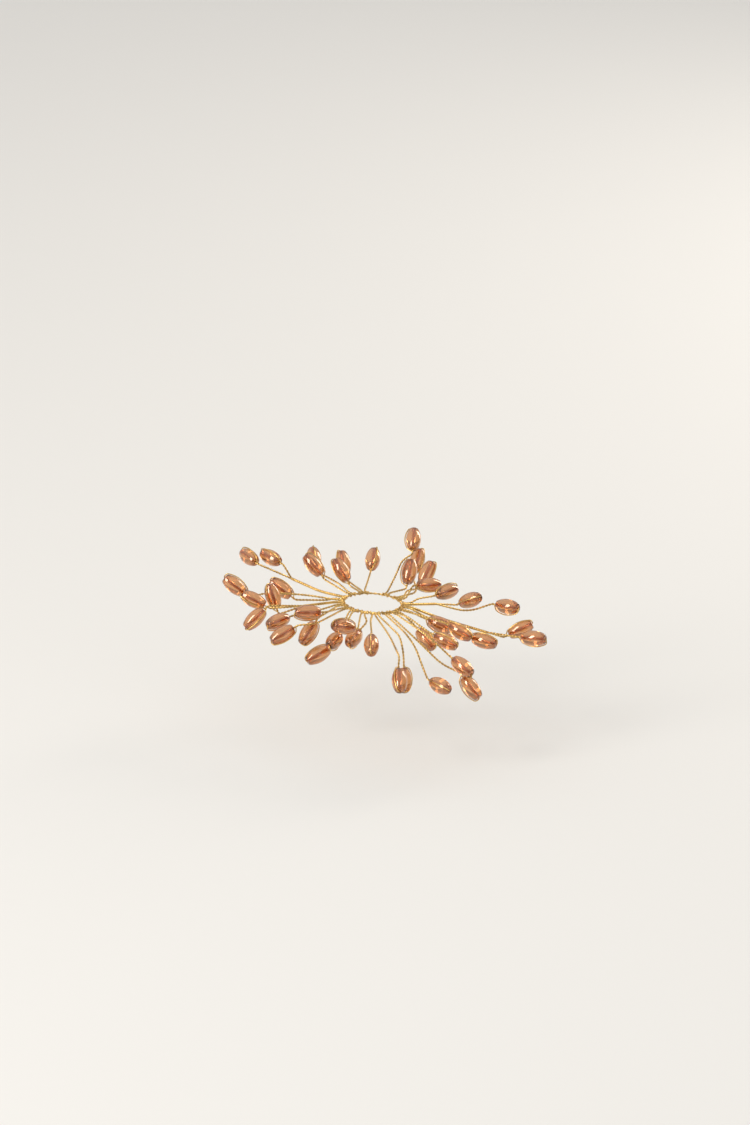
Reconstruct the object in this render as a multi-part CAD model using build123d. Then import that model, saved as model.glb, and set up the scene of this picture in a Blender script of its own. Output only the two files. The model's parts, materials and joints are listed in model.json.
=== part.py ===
"""Candle ring: a ring of wire, with twisted-wire stems all round it that each end in a glass bead.

Frame: +Z up along the bore, origin at the middle of the bore, azimuth 0 along +X and turning towards +Y.
"""

from build123d import *
import os
from dataclasses import dataclass
from math import acos, atan2, cos, degrees, hypot, radians, sin, sqrt, tan

# Driving dimensions, in millimetres.
# Core ring
BORE_RADIUS = 9.8  # the way through the ring
BORE_LAND_DEPTH = 0.04  # how far the inside of the core wire is rubbed flat
CORE_WIRE_RADIUS = 0.4

# Wire of the sprays
WIRE_RADIUS = 0.2  # one strand
STEM_RADIUS = 0.4  # a twisted pair of strands
TRUNK_RADIUS = 0.55  # where the stems of a fork run together
FOOT_BAR_RADIUS = 0.45  # the strands along the core, that the stems leave from
FOOT_GAP = 0.13  # between that bar and the core wire
CLASP_GAP = 0.05  # between a clasp and the core wire
FOOT_STEP = 1.07  # round the foot, from one stem to the next
FOOT_END = 0.31  # round the foot, from the last clasp to the bar's end
EXIT_RUN = 2.4  # a stem's straight start, out from the foot
KNEE_RUN = 1.8  # a stem's straight end, in line with its bead

# Beads and the loops of wire round them
BEAD_LENGTH = 9.0
BEAD_RADIUS = 2.75
BEAD_END_RADIUS = 1.5  # where the side would meet the flat end, before its edge is rounded
BEAD_EDGE_RADIUS = 0.8
BEAD_BORE_RADIUS = 0.5
LOOP_GAP = 0.12  # between the returning strand and the bead
SEAT_GAP = 0.3  # between the bead and the end of its stem
TIP_BEND_RADIUS = 0.45  # the strand's turn as it comes out of the bore
ROOT_RUN = 0.9  # from the end of the stem back to where the returning strand joins it

# How far the sprays reach out, and how far up and down they go
SPREAD_REACH = 60.0
SPREAD_RISE = 15.0

# Shape of the bends and clasps
RUN_SHARE = 0.45  # the part of the shorter run that a bend takes up
CLASP_HALF_TURN = 98.0  # degrees each way from the outermost point of the core wire
CLASP_LEAN = 14.0  # degrees, as a winding leans

# Worked out from the sizes above
CORE_RING_RADIUS = BORE_RADIUS + CORE_WIRE_RADIUS - BORE_LAND_DEPTH
CLASP_RADIUS = CORE_WIRE_RADIUS + CLASP_GAP + WIRE_RADIUS
FOOT_RADIUS = CORE_RING_RADIUS + CORE_WIRE_RADIUS + FOOT_GAP + FOOT_BAR_RADIUS
FOOT_STEP_TURN = degrees(FOOT_STEP / FOOT_RADIUS)
FOOT_END_TURN = degrees(FOOT_END / FOOT_RADIUS)
BORE_LENGTH = 2 * sqrt(CORE_WIRE_RADIUS**2 - (CORE_WIRE_RADIUS - BORE_LAND_DEPTH) ** 2)
BEAD_HALF = BEAD_LENGTH / 2
BEAD_ARC_DROP = (BEAD_HALF**2 + BEAD_END_RADIUS**2 - BEAD_RADIUS**2) / (2 * (BEAD_RADIUS - BEAD_END_RADIUS))
LOOP_ARC_RADIUS = BEAD_RADIUS + BEAD_ARC_DROP + LOOP_GAP + WIRE_RADIUS
LOOP_EDGE_RADIUS = BEAD_EDGE_RADIUS + LOOP_GAP + WIRE_RADIUS
EDGE_X = BEAD_HALF - BEAD_EDGE_RADIUS
EDGE_Y = sqrt((LOOP_ARC_RADIUS - LOOP_EDGE_RADIUS) ** 2 - EDGE_X**2) - BEAD_ARC_DROP
SEAT = BEAD_HALF + SEAT_GAP


@dataclass
class Bead:
    """A bead's middle (azimuth, share of the reach, share of the rise), the way it points, and its loop's side."""

    place_share: tuple
    heading: float
    tilt: float
    loop_turn: float


@dataclass
class Stem:
    """A stem's bends (azimuth, share of the reach, share of the rise), and the bead or the stems it ends in."""

    bend_shares: tuple
    end: object


# Each spray: the azimuth of its foot, and its stems in order round the foot.
SPRAY_SHARES = (
    (8.5, (
        Stem(((3, 0.37, 0.06),), (
            Stem((), Bead((358, 0.57, 0.27), 325, 30, 80)),
            Stem(((0, 0.56, -0.06),), Bead((358.5, 0.79, 0.175), 325, 6, 150)),
        )),
        Stem(((11, 0.27, 0.12),), Bead((17, 0.45, 0.22), 42, 4, 0)),
    )),
    (37, (
        Stem((), Bead((34, 0.39, 0.235), 30, -5, 120)),
        Stem(((44, 0.27, 0.10),), Bead((50, 0.48, 0.33), 60, 45, 80)),
        Stem(((50, 0.41, -0.10),), Bead((65.5, 0.595, 0.375), 75, 50, 60)),
    )),
    (66, (
        Stem(((66, 0.27, -0.05),), Bead((63, 0.45, 0.28), 80, 50, -90)),
        Stem(((69, 0.34, 0.25), (69.5, 0.445, 0.53)), Bead((68, 0.575, 0.92), 90, 33, -90)),
    )),
    (109, (
        Stem(((98, 0.30, 0.05),), Bead((92, 0.52, 0.37), 85, 30, 30)),
        Stem(((109, 0.30, -0.04),), Bead((111, 0.535, 0.25), 110, 45, -60)),
        Stem((), Bead((120, 0.40, 0.28), 140, 45, -100)),
    )),
    (134, (
        Stem(((126, 0.35, 0.03),), Bead((125.5, 0.635, 0.30), 100, 25, 0)),
        Stem((), Bead((136, 0.51, 0.35), 150, 40, 60)),
    )),
    (157, (
        Stem(((158, 0.34, 0.02), (155, 0.54, 0.15)), (
            Stem((), Bead((154, 0.69, 0.53), 135, 5, -20)),
            Stem((), Bead((156, 0.82, 0.46), 125, 5, 0)),
        )),
    )),
    (173, (
        Stem(((170, 0.28, -0.08),), Bead((170, 0.555, 0.06), 172, 32, 0)),
        Stem(((176, 0.40, 0.05), (177, 0.62, 0.03)), Bead((183, 0.815, 0.25), 170, 33, 10)),
    )),
    (188, (
        Stem(((195, 0.42, -0.04),), (
            Stem((), Bead((191, 0.71, 0.065), 172, 22, -100)),
            Stem((), Bead((199.5, 0.72, -0.255), 200, -45, -90)),
            Stem((), Bead((187, 0.59, 0.09), 150, 65, -90)),
        )),
    )),
    (202.5, (
        Stem(((206, 0.32, -0.04),), Bead((208, 0.615, -0.21), 222, -8, 180)),
        Stem((), Bead((221, 0.48, -0.41), 235, -40, -110)),
    )),
    (219, (
        Stem((), Bead((222, 0.50, 0.13), 195, 0, 180)),
        Stem(((229, 0.49, -0.09),), Bead((220, 0.665, -0.33), 205, -28, -120)),
    )),
    (236, (
        Stem(((236, 0.30, -0.33),), Bead((232.5, 0.485, -0.83), 208, -25, 10)),
        Stem((), Bead((244.5, 0.48, -0.38), 250, -5, 200)),
    )),
    (256, (
        Stem((), Bead((250, 0.471, -0.004), 215, 15, 0)),
        Stem(((265, 0.26, -0.10),), Bead((255.5, 0.38, -0.37), 250, -12, 200)),
    )),
    (276, (
        Stem(((269, 0.30, 0),), Bead((271, 0.54, -0.27), 272, -22, 10)),
        Stem(((284, 0.46, -0.14), (285.5, 0.655, -0.37)), Bead((284, 0.76, -0.80), 277, -35, 40)),
        Stem(((289.5, 0.51, -0.08), (290, 0.57, -0.37)), Bead((289, 0.65, -0.97), 275, -38, -60)),
    )),
    (296, (
        Stem(
            ((295, 0.48, -0.07), (297, 0.58, -0.27), (298, 0.66, -0.62)),
            Bead((300, 0.84, -0.87), 312, -2, 60),
        ),
        Stem(((303, 0.48, -0.23), (309, 0.665, -0.64)), Bead((315, 0.85, -1.05), 328, -40, 150)),
    )),
    (315.5, (
        Stem(((307.5, 0.55, -0.10),), Bead((312, 0.81, -0.55), 320, -20, 190)),
        Stem(((313, 0.30, 0.04),), Bead((317, 0.60, -0.23), 335, -15, 30)),
        Stem((), Bead((319, 0.43, -0.41), 318, -32, 0)),
    )),
    (334.5, (
        Stem(((329, 0.38, 0.02),), Bead((330, 0.60, -0.13), 335, -18, 20)),
        Stem((), Bead((340, 0.43, -0.21), 342, -12, 170)),
    )),
    (351, (
        Stem(((349, 0.41, -0.32), (344, 0.54, -0.33)), Bead((336, 0.727, -0.33), 338, -3, 10)),
        Stem(((354, 0.40, -0.20), (345, 0.70, -0.27)), (
            Stem((), Bead((344.5, 0.985, -0.22), 335, 8, 180)),
            Stem((), Bead((353, 0.88, -0.24), 5, 30, 20)),
        )),
    )),
)


def point_at(azimuth, reach, rise):
    """A point from its azimuth in degrees, its distance from the bore's axis and its height."""
    return Vector(reach * cos(radians(azimuth)), reach * sin(radians(azimuth)), rise)


def point_from_share(share):
    """A point from its azimuth and its shares of the reach and the rise."""
    azimuth, reach_share, rise_share = share
    return point_at(azimuth, reach_share * SPREAD_REACH, rise_share * SPREAD_RISE)


def bead_axis(bead):
    """The way that a bead points, away from its stem."""
    level = point_at(bead.heading, cos(radians(bead.tilt)), 0)
    return Vector(level.X, level.Y, sin(radians(bead.tilt)))


def bead_plane(bead):
    """The plane of a bead's loop: local X along the bead, local Y towards the returning strand."""
    axis = bead_axis(bead)
    upright = Vector(0, 0, 1)
    above = (upright - axis * axis.Z).normalized()
    beside = axis.cross(above)
    turn = radians(bead.loop_turn)
    side = above * cos(turn) + beside * sin(turn)
    return Plane(origin=point_from_share(bead.place_share), x_dir=axis, z_dir=axis.cross(side))


def foot_plane(azimuth):
    """The level plane at the middle of the core wire: local X out from the bore, local Y along the core."""
    out = point_at(azimuth, 1, 0)
    return Plane(origin=out * CORE_RING_RADIUS, x_dir=out, z_dir=Vector(0, 0, 1))


def tube(path, radius):
    """A round tube along a path."""
    return sweep(Plane(origin=path @ 0, z_dir=path % 0) * Circle(radius), path=path)


def bent_path(points):
    """Straight runs joined by arcs, each as large as its two runs allow."""
    radii = []
    for before, here, after in zip(points, points[1:], points[2:]):
        first, second = here - before, after - here
        half_turn = radians(first.get_angle(second)) / 2
        radii.append(RUN_SHARE * min(first.length, second.length) / tan(half_turn))
    return FilletPolyline(*points, radius=radii) if radii else Line(*points)


def make_core_ring():
    """The heavy wire closed in a ring, its inside dressed to a true bore."""
    ring = Torus(CORE_RING_RADIUS, CORE_WIRE_RADIUS)
    return ring - Cylinder(BORE_RADIUS, 2 * CORE_WIRE_RADIUS + BORE_RADIUS)


def make_bead():
    """One bead along local X: an oval with small flat ends and rounded edges, bored through."""
    side = ThreePointArc((-BEAD_HALF, BEAD_END_RADIUS), (0, BEAD_RADIUS), (BEAD_HALF, BEAD_END_RADIUS))
    rest = Polyline(
        (BEAD_HALF, BEAD_END_RADIUS),
        (BEAD_HALF, BEAD_BORE_RADIUS),
        (-BEAD_HALF, BEAD_BORE_RADIUS),
        (-BEAD_HALF, BEAD_END_RADIUS),
    )
    outline = make_face(side.edges() + rest.edges())
    corners = outline.vertices().sort_by(Axis.Y)[-2:]
    return revolve(fillet(corners, BEAD_EDGE_RADIUS), Axis.X)


def make_loop_path():
    """The strand's way round one bead: out through the bore, round the end, and back along the side to the stem."""
    tip_x, root_x = EDGE_X + LOOP_EDGE_RADIUS, -SEAT - ROOT_RUN
    side_turn = degrees(atan2(EDGE_Y + BEAD_ARC_DROP, EDGE_X))
    to_root = hypot(root_x + EDGE_X, EDGE_Y)
    root_turn = 180 + degrees(atan2(EDGE_Y, -EDGE_X - root_x) - acos(LOOP_EDGE_RADIUS / to_root))
    through = Line((-SEAT - WIRE_RADIUS, 0), (tip_x - TIP_BEND_RADIUS, 0))
    bend = CenterArc((tip_x - TIP_BEND_RADIUS, TIP_BEND_RADIUS), TIP_BEND_RADIUS, -90, 90)
    across = Line((tip_x, TIP_BEND_RADIUS), (tip_x, EDGE_Y))
    far_edge = CenterArc((EDGE_X, EDGE_Y), LOOP_EDGE_RADIUS, 0, side_turn)
    back = CenterArc((0, -BEAD_ARC_DROP), LOOP_ARC_RADIUS, side_turn, 180 - 2 * side_turn)
    near_edge = CenterArc((-EDGE_X, EDGE_Y), LOOP_EDGE_RADIUS, 180 - side_turn, root_turn - 180 + side_turn)
    root = Line(near_edge @ 1, (root_x, 0))
    runs = [through, bend, across, far_edge, back, near_edge, root]
    return Wire([edge for run in runs for edge in run.edges()])


def make_loop():
    """The strand round one bead."""
    return tube(make_loop_path(), WIRE_RADIUS)


def make_clasp(plane):
    """One turn of wire bent over and under the core, leaning as a winding does and open towards the bore."""
    leaning = plane.rotated((CLASP_LEAN, 0, 0))
    across = Plane(origin=plane.origin, x_dir=leaning.x_dir, z_dir=leaning.y_dir)
    return tube(across * CenterArc((0, 0), CLASP_RADIUS, -CLASP_HALF_TURN, 2 * CLASP_HALF_TURN), WIRE_RADIUS)


def stem_solids(start, stem, loop):
    """The tubes of one stem, and of all that it forks into, with the loops round its beads."""
    points = list(start) + [point_from_share(share) for share in stem.bend_shares]
    if isinstance(stem.end, Bead):
        plane = bead_plane(stem.end)
        points += [plane.origin - plane.x_dir * (SEAT + KNEE_RUN), plane.origin - plane.x_dir * SEAT]
        return [tube(bent_path(points), STEM_RADIUS), plane.location * loop]
    fork = points[-1]
    solids = [tube(bent_path(points), TRUNK_RADIUS), Pos(fork) * Sphere(TRUNK_RADIUS)]
    for branch in stem.end:
        solids += stem_solids([fork], branch, loop)
    return solids


def foot_azimuths(azimuth, count):
    """Azimuths evenly spaced about the middle of the foot."""
    return [azimuth + (i - (count - 1) / 2) * FOOT_STEP_TURN for i in range(count)]


def make_foot(azimuth, count):
    """The bar that the stems leave from, with a clasp at each end."""
    places = foot_azimuths(azimuth, count + 1)
    start = places[0] - FOOT_END_TURN
    bar = tube(CenterArc((0, 0), FOOT_RADIUS, start, places[-1] + FOOT_END_TURN - start), FOOT_BAR_RADIUS)
    return [bar] + [make_clasp(foot_plane(place)) for place in (places[0], places[-1])]


def make_spray(azimuth, stems, loop):
    """One spray: its foot, stems and loops, all one length of wire."""
    solids = make_foot(azimuth, len(stems))
    for place, stem in zip(foot_azimuths(azimuth, len(stems)), stems):
        start = [point_at(place, FOOT_RADIUS, 0), point_at(place, FOOT_RADIUS + EXIT_RUN, 0)]
        solids += stem_solids(start, stem, loop)
    return solids[0].fuse(*solids[1:])


def beads_of(stems):
    """The beads on some stems and on all that they fork into, in order."""
    found = []
    for stem in stems:
        found += [stem.end] if isinstance(stem.end, Bead) else beads_of(stem.end)
    return found


def named_beads():
    """Every bead with its node's name: the number of its spray, and a letter."""
    named = {}
    for number, (azimuth, stems) in enumerate(SPRAY_SHARES, start=1):
        for letter, bead in zip("abcdef", beads_of(stems)):
            named[f"bead_{number:02d}_{letter}"] = bead
    return named


def main():
    """Build every node and write it."""
    os.makedirs("parts", exist_ok=True)
    loop = make_loop()
    bead_shape = make_bead()
    nodes = {"core_ring": make_core_ring()}
    for number, (azimuth, stems) in enumerate(SPRAY_SHARES, start=1):
        nodes[f"spray_{number:02d}"] = make_spray(azimuth, stems, loop)
    for name, bead in named_beads().items():
        nodes[name] = bead_plane(bead).location * bead_shape
    for name, shape in nodes.items():
        export_step(shape, f"parts/{name}.step")
        print(f"{name}: {len(shape.solids())} solid, {shape.volume:.3f} mm3, valid {shape.is_valid}")


if __name__ == "__main__":
    main()
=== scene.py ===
"""Looks of a candle ring: a ring of wire, with twisted stems all round it that end in glass beads.

Lengths are in metres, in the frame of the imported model: +Z up along the bore, the origin in the middle of the
bore, and azimuth 0 along +X, turning towards +Y.
"""

import json
import logging
import random
from dataclasses import dataclass, field
from enum import Enum
from math import acos, atan2, cos, degrees, hypot, pi, radians, sin, sqrt, tan

import bpy
from mathutils import Matrix, Vector

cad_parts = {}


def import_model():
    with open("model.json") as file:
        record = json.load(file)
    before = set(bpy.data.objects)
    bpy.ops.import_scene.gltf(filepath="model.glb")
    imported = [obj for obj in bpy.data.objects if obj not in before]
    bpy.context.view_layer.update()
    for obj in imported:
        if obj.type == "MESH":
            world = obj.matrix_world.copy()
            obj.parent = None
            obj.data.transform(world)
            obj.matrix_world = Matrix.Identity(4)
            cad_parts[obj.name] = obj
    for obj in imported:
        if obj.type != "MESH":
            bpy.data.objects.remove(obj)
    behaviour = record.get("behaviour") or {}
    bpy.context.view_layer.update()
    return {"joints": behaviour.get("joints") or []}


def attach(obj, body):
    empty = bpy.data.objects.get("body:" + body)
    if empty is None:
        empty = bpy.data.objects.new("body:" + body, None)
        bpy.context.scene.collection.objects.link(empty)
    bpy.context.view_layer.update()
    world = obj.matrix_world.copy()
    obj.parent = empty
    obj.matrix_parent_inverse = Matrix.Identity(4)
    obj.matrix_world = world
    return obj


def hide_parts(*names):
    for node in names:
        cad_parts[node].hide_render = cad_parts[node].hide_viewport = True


LOG = logging.getLogger("candle_ring")
SAME_SPOT = 1e-6
LEAST_TURN = 1e-4
WIRE_BODY = "wire_frame"


class Lay(Enum):
    """How a run's strands lie: name, count of strands, how far each is from the middle, and the pitch."""

    RING = ("ring", 2, 0.0002, 0.00320)
    LOOP = ("loop", 1, 0.0, 0.0033)
    CLASP = ("clasp", 1, 0.0, 0.0033)
    STEM = ("stem", 2, 0.0002, 0.0024)
    TRUNK = ("trunk", 4, 0.0003, 0.0036)
    FOOT = ("foot", 3, 0.00023, 0.0032)

    @property
    def strands(self) -> int:
        """The count of strands."""
        return self.value[1]

    @property
    def radius(self) -> float:
        """How far each strand's middle is from the middle of the run."""
        return self.value[2]

    @property
    def pitch(self) -> float:
        """The length of one full turn."""
        return self.value[3]


@dataclass(frozen=True)
class Gauges:
    """Sizes of the wire, the ring and the beads, as the solids have them."""

    bore_radius: float = 0.0098
    bore_land_depth: float = 0.00004
    core_wire_radius: float = 0.0004
    strand_radius: float = 0.0002
    foot_bar_radius: float = 0.00045
    foot_gap: float = 0.00013
    clasp_gap: float = 0.00005
    clasp_lean: float = 14.0
    foot_step: float = 0.00107
    foot_end: float = 0.00031
    exit_run: float = 0.0024
    knee_run: float = 0.0018
    bead_length: float = 0.009
    bead_radius: float = 0.00275
    bead_end_radius: float = 0.0015
    bead_edge_radius: float = 0.0008
    bead_bore_radius: float = 0.0005
    bead_lip_radius: float = 0.00022
    loop_gap: float = 0.00012
    seat_gap: float = 0.0003
    tip_bend_radius: float = 0.00045
    root_run: float = 0.0009
    root_overrun: float = 0.0006
    spread_reach: float = 0.060
    spread_rise: float = 0.015
    run_share: float = 0.45

    @property
    def core_ring_radius(self) -> float:
        """From the bore's axis to the middle of the core wire."""
        return self.bore_radius + self.core_wire_radius - self.bore_land_depth

    @property
    def clasp_radius(self) -> float:
        """From the middle of the core wire to the middle of a clasp's strand."""
        return self.core_wire_radius + self.clasp_gap + self.strand_radius

    @property
    def foot_radius(self) -> float:
        """From the bore's axis to the middle of a foot's bar."""
        return self.core_ring_radius + self.core_wire_radius + self.foot_gap + self.foot_bar_radius

    @property
    def foot_step_turn(self) -> float:
        """Degrees round the foot, from one stem to the next."""
        return degrees(self.foot_step / self.foot_radius)

    @property
    def foot_end_turn(self) -> float:
        """Degrees round the foot, from the last clasp to the bar's end."""
        return degrees(self.foot_end / self.foot_radius)

    @property
    def seat(self) -> float:
        """From a bead's middle to the end of its stem."""
        return self.bead_length / 2 + self.seat_gap

    @property
    def bead_arc_drop(self) -> float:
        """How far the centre of the bead's outline arc lies beyond its axis."""
        half = self.bead_length / 2
        rise = self.bead_radius - self.bead_end_radius
        return (half**2 + self.bead_end_radius**2 - self.bead_radius**2) / (2 * rise)

    @property
    def loop_arc_radius(self) -> float:
        """The radius of the returning strand's arc along the bead."""
        return self.bead_radius + self.bead_arc_drop + self.loop_gap + self.strand_radius

    @property
    def edge_middle(self) -> tuple[float, float]:
        """The middle of the rounding of a bead's edge, along and out from its axis."""
        x = self.bead_length / 2 - self.bead_edge_radius
        arc = self.bead_radius + self.bead_arc_drop - self.bead_edge_radius
        return x, sqrt(arc**2 - x**2) - self.bead_arc_drop


@dataclass(frozen=True)
class Stem:
    """A stem's bends (azimuth, share of reach, share of rise), and its loop's side or its branches."""

    bend_shares: tuple = ()
    loop_turn: float = 0.0
    branches: tuple = ()


# Each spray: the azimuth of its foot, and its stems in order round the foot.
SPRAY_SHARES = (
    (8.5, (
        Stem(((3, 0.37, 0.06),), branches=(
            Stem((), 80),
            Stem(((0, 0.56, -0.06),), 150),
        )),
        Stem(((11, 0.27, 0.12),), 0),
    )),
    (37, (
        Stem((), 120),
        Stem(((44, 0.27, 0.10),), 80),
        Stem(((50, 0.41, -0.10),), 60),
    )),
    (66, (
        Stem(((66, 0.27, -0.05),), -90),
        Stem(((69, 0.34, 0.25), (69.5, 0.445, 0.53)), -90),
    )),
    (109, (
        Stem(((98, 0.30, 0.05),), 30),
        Stem(((109, 0.30, -0.04),), -60),
        Stem((), -100),
    )),
    (134, (
        Stem(((126, 0.35, 0.03),), 0),
        Stem((), 60),
    )),
    (157, (
        Stem(((158, 0.34, 0.02), (155, 0.54, 0.15)), branches=(
            Stem((), -20),
            Stem((), 0),
        )),
    )),
    (173, (
        Stem(((170, 0.28, -0.08),), 0),
        Stem(((176, 0.40, 0.05), (177, 0.62, 0.03)), 10),
    )),
    (188, (
        Stem(((195, 0.42, -0.04),), branches=(
            Stem((), -100),
            Stem((), -90),
            Stem((), -90),
        )),
    )),
    (202.5, (
        Stem(((206, 0.32, -0.04),), 180),
        Stem((), -110),
    )),
    (219, (
        Stem((), 180),
        Stem(((229, 0.49, -0.09),), -120),
    )),
    (236, (
        Stem(((236, 0.30, -0.33),), 10),
        Stem((), 200),
    )),
    (256, (
        Stem((), 0),
        Stem(((265, 0.26, -0.10),), 200),
    )),
    (276, (
        Stem(((269, 0.30, 0),), 10),
        Stem(((284, 0.46, -0.14), (285.5, 0.655, -0.37)), 40),
        Stem(((289.5, 0.51, -0.08), (290, 0.57, -0.37)), -60),
    )),
    (296, (
        Stem(((295, 0.48, -0.07), (297, 0.58, -0.27), (298, 0.66, -0.62)), 60),
        Stem(((303, 0.48, -0.23), (309, 0.665, -0.64)), 150),
    )),
    (315.5, (
        Stem(((307.5, 0.55, -0.10),), 190),
        Stem(((313, 0.30, 0.04),), 30),
        Stem((), 0),
    )),
    (334.5, (
        Stem(((329, 0.38, 0.02),), 20),
        Stem((), 170),
    )),
    (351, (
        Stem(((349, 0.41, -0.32), (344, 0.54, -0.33)), 10),
        Stem(((354, 0.40, -0.20), (345, 0.70, -0.27)), branches=(
            Stem((), 180),
            Stem((), 20),
        )),
    )),
)


def point_at(azimuth: float, reach: float, rise: float) -> Vector:
    """A point from its azimuth in degrees, its distance from the bore's axis and its height."""
    return Vector((reach * cos(radians(azimuth)), reach * sin(radians(azimuth)), rise))


def plain_mesh(piece: bpy.types.Object, name: str) -> bpy.types.Object:
    """Turns a piece with live modifiers into a plain mesh object at the origin, and removes the piece.

    Args:
        piece: The object whose modifiers make the shape.
        name: The name of the new object.

    Returns:
        The new object.
    """
    graph = bpy.context.evaluated_depsgraph_get()
    mesh = bpy.data.meshes.new_from_object(piece.evaluated_get(graph), depsgraph=graph)
    mesh.name = name
    mesh.shade_smooth()
    made = bpy.data.objects.new(name, mesh)
    bpy.context.scene.collection.objects.link(made)
    bpy.data.objects.remove(piece)
    return made


class Signal:
    """An output socket that arithmetic can be written with."""

    def __init__(self, bench: "Bench", socket: bpy.types.NodeSocket) -> None:
        """Keeps the socket and the bench that its sums go on."""
        self.bench = bench
        self.socket = socket

    def __add__(self, other: "Signal | float") -> "Signal":
        """The sum."""
        return self.bench.maths("ADD", self, other)

    __radd__ = __add__

    def __sub__(self, other: "Signal | float") -> "Signal":
        """The difference."""
        return self.bench.maths("SUBTRACT", self, other)

    def __rsub__(self, other: float) -> "Signal":
        """The difference from a number."""
        return self.bench.maths("SUBTRACT", other, self)

    def __mul__(self, other: "Signal | float") -> "Signal":
        """The product."""
        return self.bench.maths("MULTIPLY", self, other)

    __rmul__ = __mul__

    def __truediv__(self, other: "Signal | float") -> "Signal":
        """The quotient."""
        return self.bench.maths("DIVIDE", self, other)


class Bench:
    """Adds nodes to one tree, of a material or of a shape."""

    def __init__(self, tree: bpy.types.NodeTree) -> None:
        """Keeps the tree and clears it."""
        self.tree = tree
        tree.nodes.clear()

    def node(self, kind: str, settings: dict | None = None, inputs: dict | None = None) -> bpy.types.Node:
        """Adds a node, with its settings first and then its inputs.

        Args:
            kind: The node's type.
            settings: Its properties; stops are a ramp's positions and colours.
            inputs: Values or signals, by the name or number of the socket.

        Returns:
            The node.
        """
        made = self.tree.nodes.new(kind)
        for name, value in (settings or {}).items():
            if name == "stops":
                ramp = made.color_ramp.elements
                while len(ramp) < len(value):
                    ramp.new(0.5)
                for element, (position, colour) in zip(ramp, value):
                    element.position, element.color = position, (*colour, 1)
            else:
                setattr(made, name, value)
        for key, value in (inputs or {}).items():
            if isinstance(value, Signal):
                self.tree.links.new(value.socket, made.inputs[key])
            else:
                made.inputs[key].default_value = value
        return made

    def out(
        self, kind: str, settings: dict | None = None, inputs: dict | None = None, output: str | int = 0,
    ) -> Signal:
        """Adds a node and gives one of its outputs, by name or number."""
        return Signal(self, self.node(kind, settings, inputs).outputs[output])

    def maths(self, operation: str, first: "Signal | float", second: "Signal | float" = 0.0) -> Signal:
        """One sum on numbers."""
        return self.out("ShaderNodeMath", {"operation": operation}, {0: first, 1: second})

    def vector(self, operation: str, inputs: dict) -> Signal:
        """One sum on vectors."""
        return self.out("ShaderNodeVectorMath", {"operation": operation}, inputs)

    def mix_colour(self, share: "Signal | float", first: tuple | Signal, second: tuple | Signal) -> Signal:
        """Blends two colours by a share."""
        inputs = {"Factor": share, 6: first, 7: second}
        return self.out("ShaderNodeMix", {"data_type": "RGBA"}, inputs, output=2)


@dataclass(frozen=True)
class Finish:
    """What every finish shares: a name, and the making of its material."""

    name: str

    def surface(self, bench: Bench) -> bpy.types.Node:
        """Adds the shader; each finish has its own."""
        raise NotImplementedError

    def material(self) -> bpy.types.Material:
        """Makes the material.

        Returns:
            The material, its shader joined to its output.
        """
        made = bpy.data.materials.new(self.name)
        made.use_nodes = True
        bench = Bench(made.node_tree)
        shader = self.surface(bench)
        bench.node("ShaderNodeOutputMaterial", inputs={"Surface": Signal(bench, shader.outputs[0])})
        return made


@dataclass(frozen=True)
class GoldWire(Finish):
    """Gold-coloured brass wire, drawn smooth, with brown tarnish in patches, and brown painted shade in the
    grooves between its strands.
    """

    bright: tuple = (0.87, 0.59, 0.21, 1)
    # The colour of the tarnish patches, and also of the shade painted into the grooves between strands.
    brown: tuple = (0.30, 0.17, 0.06, 1)
    patch_scale: float = 260.0
    patch_range: tuple = (0.44, 0.78)
    # Painted shade: as the crest falls from the first value to the second, the grooves between strands turn
    # brown.
    groove_shade_range: tuple = (0.1, -0.6)
    draw_scale: float = 5200.0
    draw_strength: float = 0.12
    draw_depth: float = 0.00004
    gloss: float = 0.15
    tarnish_dulling: float = 0.20
    draw_dulling: float = 0.08

    def surface(self, bench: Bench) -> bpy.types.Node:
        """Metal whose colour and gloss change with its tarnish and with the shade painted into the grooves
        between its strands.
        """
        place = bench.out("ShaderNodeTexCoord", output="Object")
        patches = bench.out("ShaderNodeTexNoise", None, {
            "Vector": place, "Scale": self.patch_scale, "Detail": 3.0,
        })
        grain = bench.out("ShaderNodeTexNoise", None, {
            "Vector": place, "Scale": self.draw_scale, "Detail": 2.0,
        })
        crest = bench.out("ShaderNodeAttribute", {"attribute_name": "crest"}, output="Fac")
        # Painted shade: brown and duller where a strand's face turns in towards the groove between strands.
        groove_shade = bench.out("ShaderNodeMapRange", None, {
            0: crest, 1: self.groove_shade_range[0], 2: self.groove_shade_range[1],
        })
        patch = bench.out("ShaderNodeMapRange", None, {
            0: patches, 1: self.patch_range[0], 2: self.patch_range[1],
        })
        # Real tarnish in noise patches, or painted shade in the grooves, whichever is the greater.
        tarnish_and_groove_shade = bench.maths("MAXIMUM", groove_shade, patch)
        bump = bench.out("ShaderNodeBump", None, {
            "Strength": self.draw_strength, "Distance": self.draw_depth, "Height": grain,
        })
        return bench.node("ShaderNodeBsdfPrincipled", None, {
            "Base Color": bench.mix_colour(tarnish_and_groove_shade, self.bright, self.brown),
            "Metallic": 1.0,
            "Roughness": tarnish_and_groove_shade * self.tarnish_dulling + grain * self.draw_dulling + self.gloss,
            "Normal": bump,
        })


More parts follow.
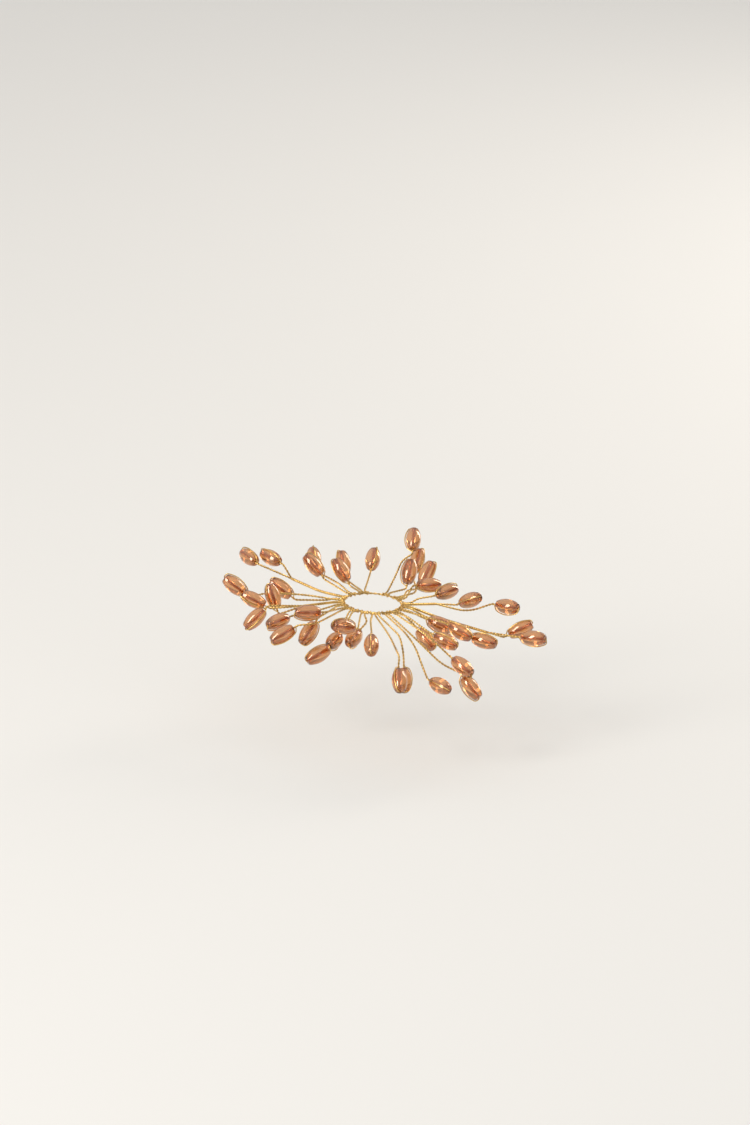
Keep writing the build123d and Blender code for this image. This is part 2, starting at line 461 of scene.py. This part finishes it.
@dataclass(frozen=True)
class CopperGlass(Finish):
    """Clear pressed glass with a copper tint, deeper towards the ends of the bead, and a thin lustre."""

    middle: tuple = (0.75, 0.36, 0.14)
    ends: tuple = (0.55, 0.20, 0.05)
    end_share: float = 0.22
    lustre: float = 0.14
    refraction: float = 1.52
    coat: float = 0.6
    coat_roughness: float = 0.03
    coat_refraction: float = 1.7
    ripple_scale: float = 420.0
    ripple_strength: float = 0.25
    ripple_depth: float = 0.00012
    ripple_dulling: float = 0.05

    def surface(self, bench: Bench) -> bpy.types.Node:
        """Glass that bends light, tinted along the bead."""
        turned = bench.out("ShaderNodeUVMap", {"uv_map": "turned"})
        along = bench.out("ShaderNodeSeparateXYZ", None, {0: turned}, output="Y")
        tint = bench.out("ShaderNodeValToRGB", {"stops": (
            (0.0, self.ends),
            (self.end_share, self.middle),
            (1 - self.end_share, self.middle),
            (1.0, self.ends),
        )}, {0: along})
        place = bench.out("ShaderNodeTexCoord", output="Object")
        ripple = bench.out("ShaderNodeTexNoise", None, {
            "Vector": place, "Scale": self.ripple_scale, "Detail": 1.0,
        })
        bump = bench.out("ShaderNodeBump", None, {
            "Strength": self.ripple_strength, "Distance": self.ripple_depth, "Height": ripple,
        })
        return bench.node("ShaderNodeBsdfPrincipled", None, {
            "Base Color": tint,
            "Metallic": self.lustre,
            "Roughness": ripple * self.ripple_dulling,
            "IOR": self.refraction,
            "Transmission Weight": 1.0,
            "Coat Weight": self.coat,
            "Coat Roughness": self.coat_roughness,
            "Coat IOR": self.coat_refraction,
            "Normal": bump,
        })


@dataclass(frozen=True)
class PaleFloor(Finish):
    """Plain pale paper under the object."""

    pale: tuple = (0.80, 0.79, 0.77, 1)

    def surface(self, bench: Bench) -> bpy.types.Node:
        """Matt paper with the faintest mottle."""
        place = bench.out("ShaderNodeTexCoord", output="Object")
        mottle = bench.out("ShaderNodeTexNoise", None, {"Vector": place, "Scale": 30.0})
        return bench.node("ShaderNodeBsdfPrincipled", None, {
            "Base Color": self.pale,
            "Roughness": mottle * 0.1 + 0.8,
        })


@dataclass
class Run:
    """One run of wire: the points on its middle, how its strands lie, and whether its corners are rounded."""

    points: list
    lay: Lay
    rounded: bool = False
    closed: bool = False
    pitch: float = 0.0


@dataclass
class WireWinder:
    """Makes runs of wire into strands that lie round each other."""

    gauges: Gauges
    material: bpy.types.Material
    step: float = 0.0002
    sides: int = 8
    corner_steps: int = 8
    tree: bpy.types.NodeTree | None = field(default=None, init=False)

    def make_tree(self) -> bpy.types.NodeTree:
        """Builds the shape tree once: runs go in as edges, and strands come out as a mesh.

        Returns:
            The tree.
        """
        tree = bpy.data.node_groups.new("laid_strands", "GeometryNodeTree")
        face = tree.interface
        face.new_socket("Runs", in_out="INPUT", socket_type="NodeSocketGeometry")
        for name in ("Strand Radius", "Step"):
            face.new_socket(name, in_out="INPUT", socket_type="NodeSocketFloat")
        face.new_socket("Sides", in_out="INPUT", socket_type="NodeSocketInt")
        face.new_socket("Finish", in_out="INPUT", socket_type="NodeSocketMaterial")
        face.new_socket("Strands", in_out="OUTPUT", socket_type="NodeSocketGeometry")
        bench = Bench(tree)
        given = bench.node("NodeGroupInput")
        inputs = ("Runs", "Strand Radius", "Step", "Sides", "Finish")
        socket = {name: Signal(bench, given.outputs[name]) for name in inputs}
        run = {
            name: bench.out("GeometryNodeInputNamedAttribute", {"data_type": kind}, {"Name": name})
            for name, kind in (("bend", "FLOAT"), ("lay", "FLOAT"), ("pitch", "FLOAT"), ("strands", "INT"))
        }
        line = bench.out("GeometryNodeMeshToCurve", None, {0: socket["Runs"]})
        line = bench.out("GeometryNodeFilletCurve", {"mode": "POLY"}, {
            "Curve": line, "Count": self.corner_steps, "Radius": run["bend"], "Limit Radius": True,
        })
        line = bench.out("GeometryNodeResampleCurve", {"mode": "LENGTH"}, {
            "Curve": line, "Length": socket["Step"],
        })
        copies = bench.node("GeometryNodeDuplicateElements", {"domain": "SPLINE"}, {
            "Geometry": line, "Amount": run["strands"],
        })
        length = bench.out("GeometryNodeSplineParameter", output="Length")
        copy = Signal(bench, copies.outputs["Duplicate Index"])
        angle = (length / run["pitch"] + copy / run["strands"]) * (2 * pi)
        normal = bench.out("GeometryNodeInputNormal")
        tangent = bench.out("GeometryNodeInputTangent")
        beside = bench.vector("CROSS_PRODUCT", {0: tangent, 1: normal})
        first = bench.vector("SCALE", {0: normal, "Scale": bench.maths("COSINE", angle) * run["lay"]})
        second = bench.vector("SCALE", {0: beside, "Scale": bench.maths("SINE", angle) * run["lay"]})
        outward = bench.vector("ADD", {0: first, 1: second})
        line = bench.out("GeometryNodeStoreNamedAttribute", {"data_type": "FLOAT_VECTOR"}, {
            "Geometry": Signal(bench, copies.outputs["Geometry"]), "Name": "outward", "Value": outward,
        })
        outward = bench.out("GeometryNodeInputNamedAttribute", {"data_type": "FLOAT_VECTOR"}, {
            "Name": "outward",
        })
        line = bench.out("GeometryNodeSetPosition", None, {"Geometry": line, "Offset": outward})
        ring = bench.out("GeometryNodeCurvePrimitiveCircle", {"mode": "RADIUS"}, {
            "Resolution": socket["Sides"], "Radius": socket["Strand Radius"],
        })
        mesh = bench.out("GeometryNodeCurveToMesh", None, {
            "Curve": line, "Profile Curve": ring, "Fill Caps": True,
        })
        # How far each face of a strand looks out from the run's middle; the wire's finish paints shade where it
        # looks in, in the grooves between strands.
        facing = bench.node("ShaderNodeVectorMath", {"operation": "DOT_PRODUCT"}, {
            0: bench.vector("NORMALIZE", {0: outward}), 1: bench.out("GeometryNodeInputNormal"),
        })
        mesh = bench.out("GeometryNodeStoreNamedAttribute", {"data_type": "FLOAT"}, {
            "Geometry": mesh, "Name": "crest", "Value": Signal(bench, facing.outputs["Value"]),
        })
        mesh = bench.out("GeometryNodeRealizeInstances", None, {"Geometry": mesh})
        mesh = bench.out("GeometryNodeSetMaterial", None, {"Geometry": mesh, "Material": socket["Finish"]})
        bench.node("NodeGroupOutput", inputs={"Strands": mesh})
        return tree

    def bend_radii(self, run: Run) -> list[float]:
        """How far each corner of a run is rounded: as much as its two runs allow, or not at all."""
        radii = [0.0] * len(run.points)
        if run.rounded:
            for i in range(1, len(run.points) - 1):
                first, second = run.points[i] - run.points[i - 1], run.points[i + 1] - run.points[i]
                half_turn = max(first.angle(second) / 2, LEAST_TURN)
                radii[i] = self.gauges.run_share * min(first.length, second.length) / tan(half_turn)
        return radii

    def wind(self, name: str, runs: list[Run]) -> bpy.types.Object:
        """Makes one piece of wire.

        Args:
            name: The piece's name.
            runs: Its runs.

        Returns:
            The piece, a plain mesh.
        """
        self.tree = self.tree or self.make_tree()
        points, edges = [], []
        values = {"bend": [], "lay": [], "pitch": [], "strands": []}
        for run in runs:
            edges += [(len(points) + i, len(points) + i + 1) for i in range(len(run.points) - 1)]
            if run.closed:
                edges.append((len(points) + len(run.points) - 1, len(points)))
            points += run.points
            values["bend"] += self.bend_radii(run)
            pitch = run.pitch or run.lay.pitch
            for key, value in (("lay", run.lay.radius), ("pitch", pitch), ("strands", run.lay.strands)):
                values[key] += [value] * len(run.points)
        mesh = bpy.data.meshes.new(name + "_runs")
        mesh.from_pydata(points, edges, [])
        for key, numbers in values.items():
            kept = mesh.attributes.new(key, "INT" if key == "strands" else "FLOAT", "POINT")
            kept.data.foreach_set("value", numbers)
        piece = bpy.data.objects.new(name + "_runs", mesh)
        bpy.context.scene.collection.objects.link(piece)
        modifier = piece.modifiers.new("strands", "NODES")
        modifier.node_group = self.tree
        sizes = {
            "Strand Radius": self.gauges.strand_radius,
            "Step": self.step,
            "Sides": self.sides,
            "Finish": self.material,
        }
        for item in self.tree.interface.items_tree:
            if item.in_out == "INPUT" and item.name in sizes:
                modifier[item.identifier] = sizes[item.name]
        made = plain_mesh(piece, name)
        bpy.data.meshes.remove(mesh)
        return made


@dataclass(frozen=True)
class BeadPlace:
    """Where a bead sits: its middle, the way it points, and which side its returning strand is on."""

    middle: Vector
    axis: Vector
    loop_turn: float

    @property
    def matrix(self) -> Matrix:
        """From the bead's own frame, X along its axis and Y towards its returning strand, to the ring's."""
        above = (Vector((0, 0, 1)) - self.axis * self.axis.z).normalized()
        beside = self.axis.cross(above)
        side = above * cos(radians(self.loop_turn)) + beside * sin(radians(self.loop_turn))
        third = self.axis.cross(side)
        return Matrix((
            (self.axis.x, side.x, third.x, self.middle.x),
            (self.axis.y, side.y, third.y, self.middle.y),
            (self.axis.z, side.z, third.z, self.middle.z),
            (0, 0, 0, 1),
        ))


@dataclass
class CoreRing:
    """The wire closed in a ring round the bore, its two strands laid together."""

    gauges: Gauges
    turns: int = 20
    steps: int = 180

    def build(self, winder: WireWinder) -> bpy.types.Object:
        """Makes the ring and stands it in for its solid.

        Args:
            winder: What makes runs into strands.

        Returns:
            The piece.
        """
        reach = self.gauges.bore_radius + self.gauges.core_wire_radius
        points = [point_at(360 * i / self.steps, reach, 0) for i in range(self.steps)]
        run = Run(points, Lay.RING, closed=True, pitch=2 * pi * reach / self.turns)
        piece = winder.wind("core_ring_wire", [run])
        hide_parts("core_ring")
        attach(piece, WIRE_BODY)
        return piece


@dataclass
class Spray:
    """One length of wire: its foot on the core ring, its twisted stems, and the loops round its beads."""

    number: int
    azimuth: float
    stems: tuple
    places: dict
    gauges: Gauges
    arc_steps: int = 14
    wrap_half_turn: float = 122.0
    tuck_radius: float = 0.0003
    tuck_share: float = 0.45

    def letters(self) -> list[str]:
        """The letters of this spray's beads, in order."""
        return sorted(name[-1] for name in self.places if name.startswith(f"bead_{self.number:02d}_"))

    def foot_azimuths(self, count: int) -> list[float]:
        """Azimuths evenly spaced about the middle of the foot."""
        return [self.azimuth + (i - (count - 1) / 2) * self.gauges.foot_step_turn for i in range(count)]

    def clasp(self, azimuth: float) -> Run:
        """The strand bent over and under the core wire, its ends tucked in between the core's strands."""
        g = self.gauges
        out, along = point_at(azimuth, 1, 0), point_at(azimuth + 90, 1, 0)
        lean = radians(g.clasp_lean)
        up = Vector((0, 0, 1)) * cos(lean) - along * sin(lean)
        middle = out * g.core_ring_radius
        points = []
        for i in range(self.arc_steps + 1):
            share = 2 * i / self.arc_steps - 1
            turn = radians(self.wrap_half_turn * share)
            tuck = max(0.0, (abs(share) - 1 + self.tuck_share) / self.tuck_share)
            radius = g.clasp_radius - (g.clasp_radius - self.tuck_radius) * tuck * tuck * (3 - 2 * tuck)
            points.append(middle + (out * cos(turn) + up * sin(turn)) * radius)
        return Run(points, Lay.CLASP)

    def foot(self) -> list[Run]:
        """The bar along the core wire, and its clasps."""
        places = self.foot_azimuths(len(self.stems) + 1)
        start, stop = places[0] - self.gauges.foot_end_turn, places[-1] + self.gauges.foot_end_turn
        bar = [
            point_at(start + (stop - start) * i / self.arc_steps, self.gauges.foot_radius, 0)
            for i in range(self.arc_steps + 1)
        ]
        return [Run(bar, Lay.FOOT)] + [self.clasp(place) for place in (places[0], places[-1])]

    def loop(self, place: BeadPlace) -> Run:
        """The strand out through the bead's bore, round its end and back along its side to the stem."""
        g = self.gauges
        edge_x, edge_y = g.edge_middle
        edge = g.bead_edge_radius + g.loop_gap + g.strand_radius
        tip_x, tip, root_x = edge_x + edge, g.tip_bend_radius, -g.seat - g.root_run
        side = atan2(edge_y + g.bead_arc_drop, edge_x)
        root = pi + atan2(edge_y, -edge_x - root_x) - acos(edge / hypot(root_x + edge_x, edge_y))
        flat = [(-g.seat - g.root_overrun, 0.0), (-g.seat / 2, 0.0), (0.0, 0.0)]
        for middle, radius, start, stop, steps in (
            ((tip_x - tip, tip), tip, -pi / 2, 0, 7),
            ((edge_x, edge_y), edge, 0, side, 7),
            ((0, -g.bead_arc_drop), g.loop_arc_radius, side, pi - side, self.arc_steps),
            ((-edge_x, edge_y), edge, pi - side, root, 4),
        ):
            turns = [start + (stop - start) * i / steps for i in range(steps + 1)]
            flat += [(middle[0] + radius * cos(turn), middle[1] + radius * sin(turn)) for turn in turns]
        spots = [flat[0]]
        for spot in flat[1:] + [(root_x, 0.0)]:
            if hypot(spot[0] - spots[-1][0], spot[1] - spots[-1][1]) > SAME_SPOT:
                spots.append(spot)
        return Run([place.matrix @ Vector((x, y, 0)) for x, y in spots], Lay.LOOP)

    def stem_runs(self, start: list, stem: Stem, places: list) -> list[Run]:
        """The runs of one stem, and of all that it forks into.

        Args:
            start: The points that it begins with.
            stem: The stem.
            places: The bead places still to be used, in order.

        Returns:
            The runs.
        """
        g = self.gauges
        points = start + [point_at(a, r * g.spread_reach, h * g.spread_rise) for a, r, h in stem.bend_shares]
        if not stem.branches:
            place = places.pop(0)
            points += [place.middle - place.axis * (g.seat + g.knee_run), place.middle - place.axis * g.seat]
            return [Run(points, Lay.STEM, rounded=True), self.loop(place)]
        runs = [Run(points, Lay.TRUNK, rounded=True)]
        for branch in stem.branches:
            runs += self.stem_runs([points[-1]], branch, places)
        return runs

    def build(self, winder: WireWinder) -> bpy.types.Object:
        """Makes the spray's wire and stands it in for its solid.

        Args:
            winder: What makes runs into strands.

        Returns:
            The piece.
        """
        node = f"spray_{self.number:02d}"
        places = [self.places[f"bead_{self.number:02d}_{letter}"] for letter in self.letters()]
        runs = self.foot()
        for azimuth, stem in zip(self.foot_azimuths(len(self.stems)), self.stems):
            inner, outer = self.gauges.foot_radius, self.gauges.foot_radius + self.gauges.exit_run
            runs += self.stem_runs([point_at(azimuth, inner, 0), point_at(azimuth, outer, 0)], stem, places)
        piece = winder.wind(f"{node}_wire", runs)
        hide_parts(node)
        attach(piece, WIRE_BODY)
        return piece


@dataclass
class GlassBead:
    """An oval bead of clear tinted glass, smooth all over, with a rounded lip at each end of its bore."""

    name: str
    place: BeadPlace
    gauges: Gauges
    glass: bpy.types.Material
    girth: float = 1.0
    sides: int = 48
    side_steps: int = 16
    edge_steps: int = 8
    lip_steps: int = 4

    def outline(self) -> list[tuple[float, float]]:
        """The bead's closed outline, from one lip round its outside to the other and back through its bore.

        Returns:
            Points along and out from the axis.
        """
        g = self.gauges
        half, bore, lip = g.bead_length / 2, g.bead_bore_radius, g.bead_lip_radius
        edge_x, edge_y = g.edge_middle
        turn = atan2(edge_y + g.bead_arc_drop, edge_x)
        quarter = [pi / 2 * i / self.lip_steps for i in range(self.lip_steps + 1)]
        right = [(half - lip + lip * sin(a), bore + lip - lip * cos(a)) for a in quarter]
        edge = [turn * i / self.edge_steps for i in range(self.edge_steps + 1)]
        right += [(edge_x + g.bead_edge_radius * cos(a), edge_y + g.bead_edge_radius * sin(a)) for a in edge]
        arc = g.bead_radius + g.bead_arc_drop
        side = [turn + (pi - 2 * turn) * i / self.side_steps for i in range(1, self.side_steps)]
        across = [(arc * cos(a), arc * sin(a) - g.bead_arc_drop) for a in side]
        left = [(-x, r) for x, r in reversed(right)]
        slim = [(x, bore + (r - bore) * self.girth) for x, r in right + across + left]
        return slim + [(-half * 0.4, bore), (half * 0.4, bore)]

    def build(self) -> bpy.types.Object:
        """Makes the bead and stands it in for its solid.

        Returns:
            The piece.
        """
        outline = self.outline()
        count = len(outline)
        points, faces, turned = [], [], []
        half = self.gauges.bead_length / 2
        for i in range(self.sides):
            a = 2 * pi * i / self.sides
            points += [self.place.matrix @ Vector((x, r * cos(a), r * sin(a))) for x, r in outline]
        for i in range(self.sides):
            for j in range(count):
                k = (j + 1) % count
                ahead = (i + 1) % self.sides
                faces.append((i * count + k, ahead * count + k, ahead * count + j, i * count + j))
                u0, u1 = i / self.sides, (i + 1) / self.sides
                v0, v1 = (outline[j][0] / half + 1) / 2, (outline[k][0] / half + 1) / 2
                turned += [(u0, v1), (u1, v1), (u1, v0), (u0, v0)]
        mesh = bpy.data.meshes.new(self.name + "_glass")
        mesh.from_pydata(points, [], faces)
        mesh.materials.append(self.glass)
        layer = mesh.uv_layers.new(name="turned")
        layer.data.foreach_set("uv", [number for pair in turned for number in pair])
        mesh.shade_smooth()
        piece = bpy.data.objects.new(self.name + "_glass", mesh)
        bpy.context.scene.collection.objects.link(piece)
        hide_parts(self.name)
        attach(piece, self.name)
        return piece


@dataclass
class Studio:
    """The pale floor, the soft lamps and the camera at the photograph's angle."""

    elevation: float = 19.0
    roll: float = 4.0
    distance: float = 1.8
    frame_width: float = 0.264
    middle_across: float = 0.0008
    middle_up: float = 0.01426
    floor_drop: float = 0.045
    floor_size: float = 6.0
    key_power: float = 10.0
    fill_power: float = 1.5
    rim_power: float = 5.0
    world_strength: float = 0.95

    def camera(self) -> bpy.types.Object:
        """Adds the camera and makes it the scene's own.

        Returns:
            The camera.
        """
        tip, turn = radians(self.elevation), radians(self.roll)
        back = Vector((0, -cos(tip), sin(tip)))
        level, upright = Vector((1, 0, 0)), Vector((0, sin(tip), cos(tip)))
        right = level * cos(turn) + upright * sin(turn)
        up = upright * cos(turn) - level * sin(turn)
        target = right * self.middle_across + up * self.middle_up
        data = bpy.data.cameras.new("camera")
        data.sensor_fit = "HORIZONTAL"
        data.sensor_width = 36.0
        data.lens = data.sensor_width * self.distance / self.frame_width
        data.clip_end = 50.0
        made = bpy.data.objects.new("camera", data)
        place = target + back * self.distance
        made.matrix_world = Matrix((
            (right.x, up.x, back.x, place.x),
            (right.y, up.y, back.y, place.y),
            (right.z, up.z, back.z, place.z),
            (0, 0, 0, 1),
        ))
        bpy.context.scene.collection.objects.link(made)
        bpy.context.scene.camera = made
        return made

    def floor(self) -> bpy.types.Object:
        """Adds the floor, well below the ring.

        Returns:
            The floor.
        """
        half, low = self.floor_size / 2, -self.floor_drop
        corners = [(-half, -half, low), (half, -half, low), (half, half, low), (-half, half, low)]
        mesh = bpy.data.meshes.new("floor")
        mesh.from_pydata(corners, [], [(0, 1, 2, 3)])
        mesh.materials.append(PaleFloor("pale_floor").material())
        made = bpy.data.objects.new("floor", mesh)
        bpy.context.scene.collection.objects.link(made)
        return made

    def lamp(self, name: str, place: Vector, size: tuple, power: float, colour: tuple) -> bpy.types.Object:
        """Adds one soft oblong lamp that faces the ring.

        Args:
            name: Its name.
            place: Where it is.
            size: Its width and height.
            power: Its watts.
            colour: Its colour.

        Returns:
            The lamp.
        """
        data = bpy.data.lights.new(name, "AREA")
        data.shape, data.size, data.size_y = "RECTANGLE", *size
        data.energy, data.color = power, colour
        made = bpy.data.objects.new(name, data)
        made.location = place
        made.rotation_euler = (-place).to_track_quat("-Z", "Y").to_euler()
        bpy.context.scene.collection.objects.link(made)
        return made

    def build(self) -> None:
        """Adds the camera, the floor, the lamps and the world."""
        self.camera()
        self.floor()
        self.lamp("key", Vector((-0.95, -0.75, 0.7)), (0.4, 1.0), self.key_power, (1.0, 0.97, 0.92))
        self.lamp("fill", Vector((0.9, -0.9, 0.5)), (0.9, 0.9), self.fill_power, (0.93, 0.96, 1.0))
        self.lamp("rim", Vector((0.75, 0.8, 0.45)), (0.35, 0.8), self.rim_power, (1.0, 0.93, 0.84))
        world = bpy.data.worlds.new("pale")
        bpy.context.scene.world = world
        world.use_nodes = True
        bench = Bench(world.node_tree)
        way = bench.out("ShaderNodeTexCoord", output="Generated")
        height = bench.out("ShaderNodeSeparateXYZ", None, {0: way}, output="Z")
        across = bench.out("ShaderNodeSeparateXYZ", None, {0: way}, output="X")
        tone = bench.out("ShaderNodeValToRGB", {"stops": (
            (0.0, (0.62, 0.61, 0.60)),
            (0.42, (0.20, 0.19, 0.18)),
            (0.72, (0.85, 0.84, 0.82)),
            (1.0, (1.0, 0.99, 0.97)),
        )}, {0: height * 0.42 - across * 0.18 + 0.42})
        light = bench.out("ShaderNodeBackground", None, {"Color": tone, "Strength": self.world_strength})
        bench.node("ShaderNodeOutputWorld", inputs={"Surface": light})
        bpy.context.scene.view_settings.view_transform = "Standard"


def bead_places(joints: list[dict], turns: dict[str, float]) -> dict[str, BeadPlace]:
    """Reads where each bead sits from the joint that it turns on.

    Args:
        joints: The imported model's joints.
        turns: The side of each bead's returning strand.

    Returns:
        Each bead's place, by its node's name.
    """
    places = {}
    for joint in joints:
        name, axis = joint["child"], Vector(joint["axis"]).normalized()
        places[name] = BeadPlace(Vector(joint["pos_m"]), axis, turns[name])
    return places


def loop_turns() -> dict[str, float]:
    """The side of each bead's returning strand, by its node's name."""

    def walk(stems: tuple) -> list[float]:
        """The sides on some stems and on all that they fork into, in order."""
        found = []
        for stem in stems:
            found += walk(stem.branches) if stem.branches else [stem.loop_turn]
        return found

    return {
        f"bead_{number:02d}_{letter}": turn
        for number, (_, stems) in enumerate(SPRAY_SHARES, start=1)
        for letter, turn in zip("abcdef", walk(stems))
    }


def main() -> None:
    """Builds every piece over the frame, then the studio."""
    logging.basicConfig(level=logging.INFO, format="%(message)s")
    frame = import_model()
    gauges = Gauges()
    wire = GoldWire("gold_wire").material()
    glass = CopperGlass("copper_glass").material()
    places = bead_places(frame["joints"], loop_turns())
    winder = WireWinder(gauges, wire)
    piece = CoreRing(gauges).build(winder)
    LOG.info("%s: %d faces", piece.name, len(piece.data.polygons))
    for number, (azimuth, stems) in enumerate(SPRAY_SHARES, start=1):
        piece = Spray(number, azimuth, stems, places, gauges).build(winder)
        LOG.info("%s: %d faces", piece.name, len(piece.data.polygons))
    dice = random.Random(41)
    for name, place in places.items():
        piece = GlassBead(name, place, gauges, glass, girth=dice.uniform(0.965, 1.0)).build()
        LOG.info("%s: %d faces", piece.name, len(piece.data.polygons))
    Studio().build()


if __name__ == "__main__":
    main()
